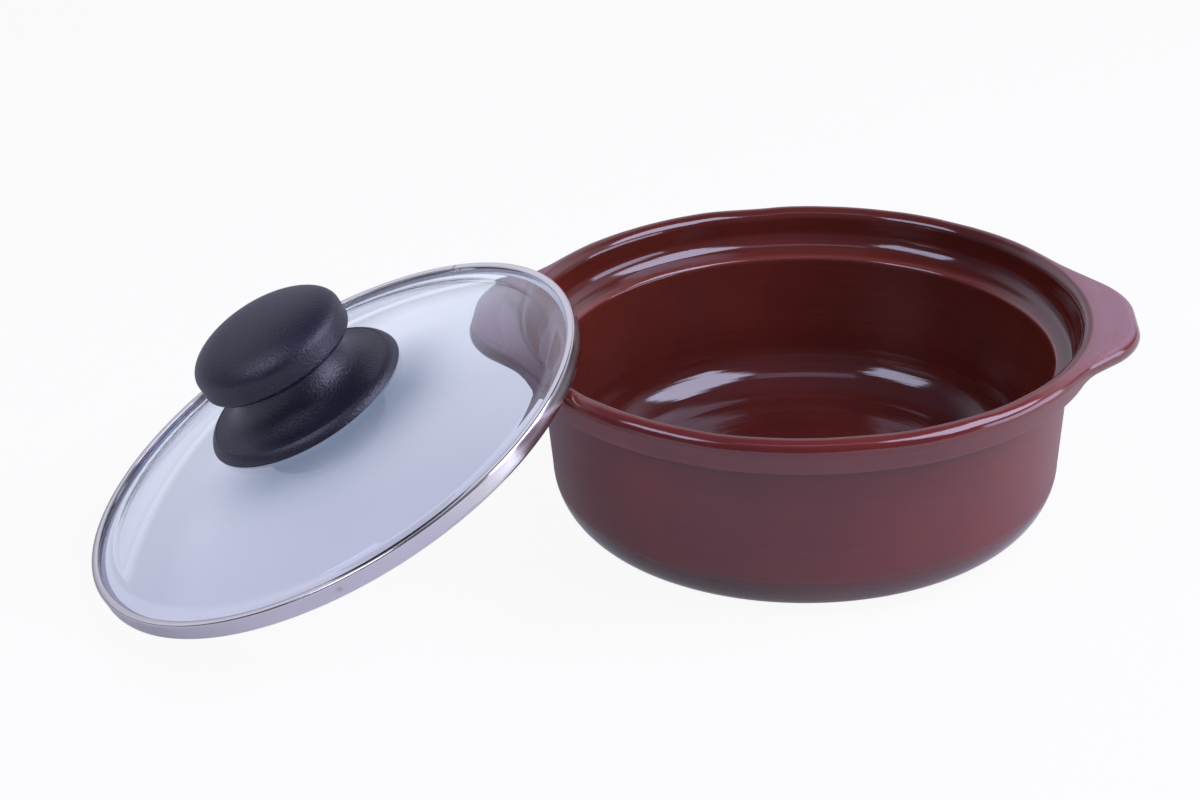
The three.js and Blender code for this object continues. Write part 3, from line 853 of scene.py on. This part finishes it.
def grained_plastic():
    material, sketch = new_finish("grained_plastic")
    place = own_place(sketch)
    grain = noise(sketch, place, 1200.0, 2.0)
    handled = noise(sketch, place, 38.0, 3.0)
    surface(sketch, {
        "Base Color": sketch.blend((handled + grain - 0.5).clamped(), PLASTIC_BLACK, PLASTIC_WORN),
        "Roughness": 0.33 + handled * 0.08 + grain * 0.14,
        "IOR": 1.64,
        "Normal": raised(sketch, grain, GRAIN_DEPTH),
    })
    return material


plastic = grained_plastic()
print(plastic.name, "has", len(plastic.node_tree.nodes), "nodes")

# %% Outline of the knob
KNOB_NECK = 20.0
KNOB_BASE = KNOB_NECK + 17.5
KNOB_CAP = KNOB_NECK + 8.7
NECK_HEIGHT = 15.0
BASE_EDGE = 3.6
BASE_ROUND = 3.3
BASE_BULGE = (0.9, 2.6)
BASE_STEP = (0.25, 0.2)
CAP_FLARE = 3.8
CAP_EDGE = 2.4
CAP_SIDE = 7.2
CROWN = 10.6
KNOB_WALL = 3.2
BOSS_RADIUS = 9.0
INSERT_RADIUS = 4.0
INSERT_LENGTH = 12.0
GASKET = 1.0
knob_seat = dome_height(KNOB_BASE) + GAP
gasket_low = dome_height(0) + GAP
boss_low = gasket_low + GASKET + GAP
insert_high = boss_low + INSERT_LENGTH


def bell(inset):
    """The curve from the base's edge to the neck, or one that much deeper in the wall."""
    edge = (KNOB_BASE - BASE_ROUND - inset, knob_seat + BASE_EDGE - 0.6 * inset)
    waist = (KNOB_NECK + 2.0 - inset, edge[1] + 1.0)
    return bend(edge, waist, (KNOB_NECK - inset, knob_seat + NECK_HEIGHT - inset), 24)


def knob_outline():
    bore = INSERT_RADIUS + GAP
    bore_top = insert_high + GAP
    edge_high = knob_seat + BASE_EDGE
    skin = bell(0)
    foot = skin[0][0]
    hollow = bell(KNOB_WALL)
    base_bulge = (KNOB_BASE - BASE_BULGE[0], knob_seat + BASE_BULGE[1])
    base_top = (foot + BASE_STEP[0], edge_high)
    rim_inner = KNOB_BASE - KNOB_WALL
    neck_top = (KNOB_NECK, knob_seat + NECK_HEIGHT)
    cap_low = neck_top[1] + CAP_FLARE
    cap_edge = arc(KNOB_CAP - CAP_EDGE, cap_low + CAP_EDGE, CAP_EDGE, -90, 0)
    side_top = cap_low + CAP_SIDE
    points = [
        (0, bore_top),
        (bore, bore_top),
        (bore, boss_low),
        (BOSS_RADIUS, boss_low),
        (BOSS_RADIUS, hollow[-1][1]),
        *reversed(hollow),
        (rim_inner, dome_height(rim_inner) + GAP),
        *bend((KNOB_BASE, knob_seat), base_bulge, base_top, 12),
        (foot, edge_high - BASE_STEP[1]),
        *skin[1:],
        *bend(neck_top, (KNOB_NECK, cap_low), cap_edge[0], 16)[1:],
        *cap_edge[1:],
        *oval(0, side_top, KNOB_CAP, CROWN, 0, 90, 40)[:-1],
        (0, side_top + CROWN),
    ]
    return softened(points, 0.3)


settle(turned("moulded_knob", knob_outline(), 160, plastic), "knob", "lid", lid_matrix)

# %% [markdown]
# Four ribs tie the boss in the hollow base to its wall. Things that repeat round an axis are drawn
# once: the tree puts a copy of the drawn rib on each of a few points, and turns each copy a step further.


# %% The ribs
def ring_tree():
    inputs = {"Count": "NodeSocketInt", "Finish": "NodeSocketMaterial"}
    sketch, single = geometry_tree("ring_of_copies", inputs)
    count = single.other("Count")
    points = sketch.add("GeometryNodePoints", None, {"Count": count})
    turn = sketch.add("GeometryNodeInputIndex") * math.tau / count
    sockets = {"Points": points, "Instance": single, "Rotation": sketch.vector(0.0, 0.0, turn)}
    copies = sketch.add("GeometryNodeInstanceOnPoints", None, sockets)
    return finished(sketch, copies, single.other("Finish"))


def rib_object(thickness):
    wall = [point for point in bell(KNOB_WALL / 2) if point[1] > boss_low]
    root = BOSS_RADIUS - 1.0
    profile = [(root, boss_low), (wall[0][0], boss_low), *wall, (root, wall[-1][1])]
    count = len(profile)
    sides = [(r * MM, y * thickness * MM, z * MM) for y in (-0.5, 0.5) for r, z in profile]
    faces = [list(range(count)), list(range(2 * count - 1, count - 1, -1))]
    faces += [[k, k + count, (k + 1) % count + count, (k + 1) % count] for k in range(count)]
    mesh = bpy.data.meshes.new("knob_ribs")
    mesh.from_pydata(sides, [], faces)
    rib = bpy.data.objects.new("knob_ribs", mesh)
    bpy.context.scene.collection.objects.link(rib)
    return rib


ribs = run_tree(rib_object(thickness=2.0), ring_tree(), Count=4, Finish=plastic)
settle(ribs, "knob", "lid", lid_matrix)

# %% [markdown]
# ## The fastening
# A brass insert is moulded into the knob. A pan-head screw comes up through a dished washer, a rubber
# grommet and the hole in the glass, and pulls the knob down on a rubber gasket. All are turned pieces
# again, so they take only an outline each. Lathe-cut metal keeps fine turning lines, which follow the
# distance from the lid's axis; rubber is dull with a little dust.


# %% Metal and rubber finishes
def machined_metal(name, dull, bright, rough):
    material, sketch = new_finish(name)
    place = lid_place(sketch)
    x, y, z = sketch.parts(place)
    radius = (x * x + y * y).math("SQRT")
    lines = noise(sketch, sketch.vector(radius * 4000.0, z * 4000.0, 0.0), 1.0, 2.0)
    stain = noise(sketch, place, 160.0, 3.0)
    surface(sketch, {
        "Base Color": sketch.blend(stain, dull, bright),
        "Metallic": 1.0,
        "Roughness": rough + stain * 0.12,
        "Normal": raised(sketch, lines, 0.012 * MM),
    })
    return material


def black_rubber():
    material, sketch = new_finish("black_rubber")
    dust = noise(sketch, own_place(sketch), 500.0, 4.0, 0.7)
    surface(sketch, {
        "Base Color": sketch.blend(dust, (0.008, 0.008, 0.008, 1), (0.030, 0.029, 0.028, 1)),
        "Roughness": 0.62 + dust * 0.25,
        "Normal": raised(sketch, dust, 0.02 * MM),
    })
    return material


brass = machined_metal("turned_brass", (0.52, 0.33, 0.11, 1), (0.78, 0.55, 0.22, 1), 0.22)
bright_steel = machined_metal("bright_steel", (0.48, 0.47, 0.46, 1), (0.70, 0.69, 0.68, 1), 0.18)
rubber = black_rubber()
print("metals and rubber:", brass.name, bright_steel.name, rubber.name)

# %% Insert, gasket and grommet
SCREW_HOLE = 2.6
INSERT_LAND = 4.0
GROOVE_DEPTH = 0.6
groove = INSERT_RADIUS - GROOVE_DEPTH
insert_outline = [
    (SCREW_HOLE, boss_low),
    (INSERT_RADIUS, boss_low),
    (INSERT_RADIUS, boss_low + INSERT_LAND),
    (groove, boss_low + INSERT_LAND),
    (groove, insert_high - INSERT_LAND),
    (INSERT_RADIUS, insert_high - INSERT_LAND),
    (INSERT_RADIUS, insert_high),
    (SCREW_HOLE, insert_high),
]
gasket_outline = [
    (SCREW_HOLE, gasket_low),
    (BOSS_RADIUS, gasket_low),
    (BOSS_RADIUS, gasket_low + GASKET),
    (SCREW_HOLE, gasket_low + GASKET),
]
grommet_high = dome_height(BOSS_RADIUS, GLASS_THICKNESS) - GAP
grommet_low = grommet_high - GASKET
sleeve = (GLASS_HOLE - GAP, dome_height(0) - GAP)
grommet_outline = [
    (SCREW_HOLE, grommet_low),
    (BOSS_RADIUS, grommet_low),
    (BOSS_RADIUS, grommet_high),
    (sleeve[0], grommet_high),
    sleeve,
    (SCREW_HOLE, sleeve[1]),
]


def small_ring(name, outline, finish, node):
    piece = turned(name, softened(outline, 0.2, True), 64, finish)
    return settle(piece, node, "lid", lid_matrix)


small_ring("brass_insert", insert_outline, brass, "knob_insert")
small_ring("upper_gasket", gasket_outline, rubber, "knob_gasket")
small_ring("sleeved_grommet", grommet_outline, rubber, "glass_grommet")

# %% Washer
WASHER_SHEET = 0.8
WASHER_RIM = 1.1
washer_high = grommet_low - GAP
pocket = BOSS_RADIUS + GAP
washer_outline = [
    (SCREW_HOLE, washer_high - WASHER_SHEET),
    *arc(pocket, washer_high, WASHER_SHEET, -90, 0),
    (pocket + WASHER_SHEET, washer_high + WASHER_RIM),
    (pocket, washer_high + WASHER_RIM),
    (pocket, washer_high),
    (SCREW_HOLE, washer_high),
]
small_ring("dished_washer", washer_outline, bright_steel, "cup_washer")

# %% [markdown]
# The cross in the screw's head is cut, as the punch does it: the tree takes two crossed bars away from
# the turned screw. Cutting keeps its walls upright and its corners sharp.

# %% Screw
SHANK = 2.3
HEAD_LEDGE = 2.2
HEAD = SHANK + HEAD_LEDGE
HEAD_SIDE = 0.8
HEAD_CROWN = 2.0
SCREW_POINT = 1.1
SCREW_SETBACK = 3.0
head_high = washer_high - WASHER_SHEET - GAP
crown_high = head_high - HEAD_SIDE
head_low = crown_high - HEAD_CROWN
screw_tip = insert_high - SCREW_SETBACK
screw_outline = [
    (0, head_low),
    *oval(0, crown_high, HEAD, HEAD_CROWN, -90, 0, 12)[1:],
    (HEAD, head_high),
    (SHANK, head_high),
    (SHANK, screw_tip - SCREW_POINT),
    (SHANK - SCREW_POINT, screw_tip),
    (0, screw_tip),
]


def recess_tree():
    labels = ("Length", "Width", "Depth", "Height")
    inputs = {label: "NodeSocketFloat" for label in labels} | {"Finish": "NodeSocketMaterial"}
    sketch, screw = geometry_tree("cross_recess", inputs)
    length, width, depth, height = (screw.other(label) for label in labels)
    cut = screw
    for x, y in ((length, width), (width, length)):
        bar = sketch.add("GeometryNodeMeshCube", None, {"Size": sketch.vector(x, y, depth * 2.0)}, "Mesh")
        sockets = {"Geometry": bar, "Translation": sketch.vector(0.0, 0.0, height)}
        bar = sketch.add("GeometryNodeTransform", None, sockets)
        settings = {"operation": "DIFFERENCE", "solver": "MANIFOLD"}
        cut = sketch.add("GeometryNodeMeshBoolean", settings, {"Mesh 1": cut, "Mesh 2": bar}, "Mesh")
    return finished(sketch, cut, screw.other("Finish"))


screw = turned("pan_head_screw", softened(screw_outline, 0.15), 64, bright_steel)
cross = {"Length": 5.0 * MM, "Width": 0.9 * MM, "Depth": 1.4 * MM, "Height": head_low * MM}
run_tree(screw, recess_tree(), Finish=bright_steel, **cross)
settle(screw, "knob_screw", "lid", lid_matrix)

# %% [markdown]
# ## Floor
# The photograph is a cut-out on white. A white floor under bright lamps would give that too, but it
# would also bleach the pot. This floor is plain pale paint, mixed with a plain white by what kind of
# ray asks: rays from the lens and through the glass get most of the white, and keep a little of the
# shadow. Mirrored rays get less of it near the pot, where the photograph's table lies in shade, and
# more at its foot, on the right and far off.

# %% The floor
FLOOR_PAINT = (0.86, 0.86, 0.88, 1)
WHITE = (1, 1, 1, 1)
MIRRORED_WHITE = (0.80, 0.85, 1.0, 1)
FLOOR_GLOW = 0.93
FLOOR_GLOW_IN_GLASS = 0.97
BACKDROP_GLOW = 0.6
RIGHT_GLOW = 1.0
NEAR_GLOW = 0.14
FOOT_GLOW = 0.38


def pale_floor():
    material, sketch = new_finish("pale_floor")
    path = sketch.add("ShaderNodeLightPath", None, None, "Is Camera Ray")
    mirrored = path.other("Is Glossy Ray") * path.other("Is Reflection Ray")
    x, y, _ = sketch.parts(own_place(sketch))
    distance = (x * x + y * y).math("SQRT")
    backdrop = distance.ramp(0.25, 0.50) * BACKDROP_GLOW
    right = x.ramp(0.08, 0.16) * RIGHT_GLOW
    foot = distance.ramp(0.14, 0.11) * FOOT_GLOW
    in_mirror = mirrored * backdrop.most(right).most(foot).most(NEAR_GLOW)
    in_glass = path.other("Is Transmission Ray") * FLOOR_GLOW_IN_GLASS
    share = (path * FLOOR_GLOW).most(in_glass).most(in_mirror)
    tint = sketch.blend(mirrored, WHITE, MIRRORED_WHITE)
    paint = sketch.add("ShaderNodeBsdfDiffuse", None, {"Color": FLOOR_PAINT})
    glow = sketch.add("ShaderNodeEmission", None, {"Color": tint, "Strength": 1.0})
    shader = sketch.add("ShaderNodeMixShader", None, {0: share, 1: paint, 2: glow})
    sketch.add("ShaderNodeOutputMaterial", None, {"Surface": shader})
    return material


def make_floor(half_side, drop):
    mesh = bpy.data.meshes.new("floor")
    signs = ((-1, -1), (1, -1), (1, 1), (-1, 1))
    mesh.from_pydata([(x * half_side, y * half_side, -drop) for x, y in signs], [], [(0, 1, 2, 3)])
    mesh.materials.append(pale_floor())
    floor = bpy.data.objects.new("floor", mesh)
    bpy.context.scene.collection.objects.link(floor)
    print("floor is", 2 * half_side, "m across")


make_floor(half_side=8.0, drop=0.2 * MM)

# %% [markdown]
# ## Room
# What gloss shows is the room. A picture of a studio could surround the scene, but a few soft shapes
# are enough and stay in the script: a pale wall behind the pot, lower in its middle, a pale horizon
# under it, and dim air above and on the lens's side. The lens and the glass see plain white instead,
# and the room lights dull surfaces a little less than it shows in gloss.

# %% The room
ROOM_AIR = (0.20, 0.21, 0.29, 1)
ROOM_DIM = (0.09, 0.09, 0.14, 1)
ROOM_WALL = (0.80, 0.81, 1.0, 1)
ROOM_LIGHT = 0.65


def studio_world():
    world = bpy.data.worlds.new("studio")
    world.use_nodes = True
    sketch = Sketch(world.node_tree)
    right, back, up = sketch.parts(sketch.add("ShaderNodeTexCoord", None, None, "Generated"))
    behind = back.ramp(0.0, 0.5)
    sill = abs(right).ramp(0.3, 0.5) * 0.16 + 0.06
    wall = ((up - sill) / 0.14).clamped() * up.ramp(0.76, 0.60) * behind
    wall = wall * (abs(right + 0.03).ramp(0.08, 0.26) * 0.5 + 0.5)
    horizon = up.ramp(0.07, 0.02) * behind
    dim = up.ramp(0.45, 0.70).most(back.ramp(0.2, -0.2))
    room = sketch.blend(dim, ROOM_AIR, ROOM_DIM)
    room = sketch.blend(wall.most(horizon), room, ROOM_WALL)
    path = sketch.add("ShaderNodeLightPath", None, None, "Is Camera Ray")
    seen = sketch.blend(path.most(path.other("Is Transmission Ray")), room, WHITE)
    strength = 1.0 - path.other("Is Diffuse Ray") * (1.0 - ROOM_LIGHT)
    shader = sketch.add("ShaderNodeBackground", None, {"Color": seen, "Strength": strength})
    sketch.add("ShaderNodeOutputWorld", None, {"Surface": shader})
    bpy.context.scene.world = world
    print(world.name, "has", len(world.node_tree.nodes), "nodes")


studio_world()

# %% [markdown]
# ## Lamps
# The glossy bowl shows the lamps as panes, so their places can be read off the photograph: a large
# soft box high on the right, a smaller one on the left, a low fill on the right that edges the wall,
# and a faint strip over the lens. Round lamps would give round spots, so all are rectangles. Strength
# is given as what a mirror would show, so a lamp keeps its brightness when it is made larger.

# %% Soft boxes
LAMP_WHITE = (0.70, 0.72, 1.0)
LAMP_DISTANCE = 1.3


def soft_box(name, azimuth, elevation, size, radiance):
    """A rectangular lamp that faces the pot. Azimuth 0 lies behind the pot and 90 on its right."""
    lamp = bpy.data.lights.new(name, "AREA")
    lamp.shape = "RECTANGLE"
    lamp.size, lamp.size_y = size
    lamp.energy = radiance * math.pi * size[0] * size[1]
    lamp.color = LAMP_WHITE
    a, e = math.radians(azimuth), math.radians(elevation)
    out = Vector((math.sin(a) * math.cos(e), math.cos(a) * math.cos(e), math.sin(e)))
    holder = bpy.data.objects.new(name, lamp)
    holder.location = out * LAMP_DISTANCE
    holder.rotation_euler = out.to_track_quat("Z", "Y").to_euler()
    bpy.context.scene.collection.objects.link(holder)
    print(name, "shines with", round(lamp.energy, 2), "W")


soft_box("right_box", 102, 50, (0.95, 0.70), 6.5)
soft_box("left_box", -120, 46, (0.60, 0.42), 5.2)
soft_box("right_fill", 95, 10, (0.90, 0.50), 4.0)
soft_box("overhead_strip", 180, 70, (0.80, 0.22), 0.9)

# %% [markdown]
# ## Camera
# The picture was cropped, so its middle is not where the lens pointed. The lens points straight at
# the pot's axis from a little above, and a shift moves the frame to the left. Turning the camera
# instead would lean the pot's upright sides. The Standard view shows colours as they are worked out.

# %% Place the camera
FRAME_WIDTH, FRAME_HEIGHT = 1200, 800
FOCAL_PIXELS = 2600.0
AXIS_X, AXIS_Y = 805.3, 392.2
CAMERA_PLACE = (0.0, -0.8799, 0.4642)
CAMERA_PITCH = 25.532


def make_camera():
    lens = bpy.data.cameras.new("camera")
    lens.sensor_fit = "HORIZONTAL"
    lens.lens = lens.sensor_width * FOCAL_PIXELS / FRAME_WIDTH
    lens.shift_x = (FRAME_WIDTH / 2 - AXIS_X) / FRAME_WIDTH
    lens.shift_y = (AXIS_Y - FRAME_HEIGHT / 2) / FRAME_WIDTH
    camera = bpy.data.objects.new("camera", lens)
    camera.location = CAMERA_PLACE
    camera.rotation_euler = (math.radians(90 - CAMERA_PITCH), 0, 0)
    bpy.context.scene.collection.objects.link(camera)
    bpy.context.scene.camera = camera
    print("lens of", round(lens.lens, 1), "mm")


make_camera()
bpy.context.scene.view_settings.view_transform = "Standard"
